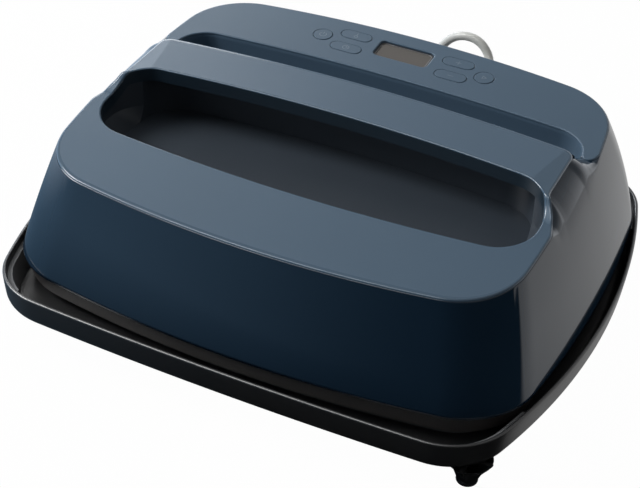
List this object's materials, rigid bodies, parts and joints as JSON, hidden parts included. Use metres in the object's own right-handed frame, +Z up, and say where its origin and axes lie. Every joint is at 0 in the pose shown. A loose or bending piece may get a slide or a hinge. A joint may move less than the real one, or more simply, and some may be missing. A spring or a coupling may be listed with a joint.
{
  "type": "handheld heat press",
  "caption": "Handheld craft heat press with a bowed grip bar between a finger well and a thumb groove, resting in a shallow safety base.",
  "frame": {"origin": "on the floor under the middle of the safety base", "axes": "+X to the operator's right along the grip, +Y away from the operator towards the cord, +Z up"},
  "size_m": [0.3572, 0.4269, 0.1218],
  "materials": {
    "gloss_navy": "gloss moulded housing",
    "slate_satin": "satin moulded cover",
    "well_charcoal": "fine satin liner",
    "guard_brown": "heat resistant moulding",
    "tray_black": "dark satin moulding",
    "mat_grey": "ribbed silicone",
    "tip_grey": "soft silicone",
    "guide_grey": "pale silicone",
    "plate_alu": "coated cast plate",
    "steel_sheet": "bare sheet",
    "steel_parts": "plated",
    "insulation": "mineral fibre felt",
    "display_glass": "smoked window",
    "lcd_dark": "display module",
    "board_green": "solder mask",
    "black_part": "moulded",
    "blue_block": "moulded terminal block",
    "core_yellow": "taped winding",
    "heatsink": "extruded",
    "lead_red": "silicone insulated lead",
    "cord_offwhite": "flexible cord",
    "pin_brass": "bare",
    "tie_black": "hook and loop strap"
  },
  "bodies": {
    "safety_base": {"base_tray": "tray_black", "base_mat": "mat_grey", "corner_guides": "guide_grey", "foot_tip_front_left": "tip_grey", "foot_tip_front_right": "tip_grey", "foot_tip_back_left": "tip_grey", "foot_tip_back_right": "tip_grey", "cord_coil": "cord_offwhite", "cord_tie": "tie_black", "plug_body": "cord_offwhite", "plug_pins": "pin_brass"},
    "press": {"housing": "gloss_navy", "groove_liner": "slate_satin", "mouth_collar": "slate_satin", "top_cover": "slate_satin", "control_panel": "slate_satin", "handle_well": "well_charcoal", "heat_guard": "guard_brown", "housing_screws": "steel_parts", "heat_plate": "plate_alu", "heating_element": "steel_parts", "insulation_pad": "insulation", "heat_shield": "steel_sheet", "standoffs": "steel_parts", "plate_screws": "steel_parts", "shield_screws": "steel_parts", "temperature_sensor": "steel_parts", "thermal_fuse": "steel_parts", "display_lens": "display_glass", "lcd_module": "lcd_dark", "control_board": "board_green", "control_board_screws": "steel_parts", "tact_switches": "black_part", "beeper": "black_part", "power_board": "board_green", "power_board_posts": "steel_parts", "power_board_screws": "steel_parts", "transformer": "core_yellow", "relay": "black_part", "capacitor": "black_part", "triac_heatsink": "heatsink", "terminal_block": "blue_block", "heater_leads": "lead_red", "strain_relief": "cord_offwhite", "relief_nut": "black_part", "power_cord": "cord_offwhite"},
    "power_button": {"power_button": "slate_satin"},
    "temperature_button": {"temperature_button": "slate_satin"},
    "timer_button": {"timer_button": "slate_satin"},
    "plus_button": {"plus_button": "slate_satin"},
    "minus_button": {"minus_button": "slate_satin"},
    "start_button": {"start_button": "slate_satin"}
  },
  "joints": [
    {"name": "lift_off", "type": "slide", "parent": "safety_base", "child": "press", "axis": [0, 0, 1], "range_m": [0, 0.12]},
    {"name": "power_button_press", "type": "slide", "parent": "press", "child": "power_button", "axis": [0, 0.0797, -0.9968], "range_m": [0, 0.0007], "stiffness_N_per_m": 1500},
    {"name": "temperature_button_press", "type": "slide", "parent": "press", "child": "temperature_button", "axis": [0, 0.0797, -0.9968], "range_m": [0, 0.0007], "stiffness_N_per_m": 1500},
    {"name": "timer_button_press", "type": "slide", "parent": "press", "child": "timer_button", "axis": [0, 0.0797, -0.9968], "range_m": [0, 0.0007], "stiffness_N_per_m": 1500},
    {"name": "plus_button_press", "type": "slide", "parent": "press", "child": "plus_button", "axis": [0, 0.0797, -0.9968], "range_m": [0, 0.0007], "stiffness_N_per_m": 1500},
    {"name": "minus_button_press", "type": "slide", "parent": "press", "child": "minus_button", "axis": [0, 0.0797, -0.9968], "range_m": [0, 0.0007], "stiffness_N_per_m": 1500},
    {"name": "start_button_press", "type": "slide", "parent": "press", "child": "start_button", "axis": [0, 0.0797, -0.9968], "range_m": [0, 0.0007], "stiffness_N_per_m": 1500}
  ]
}
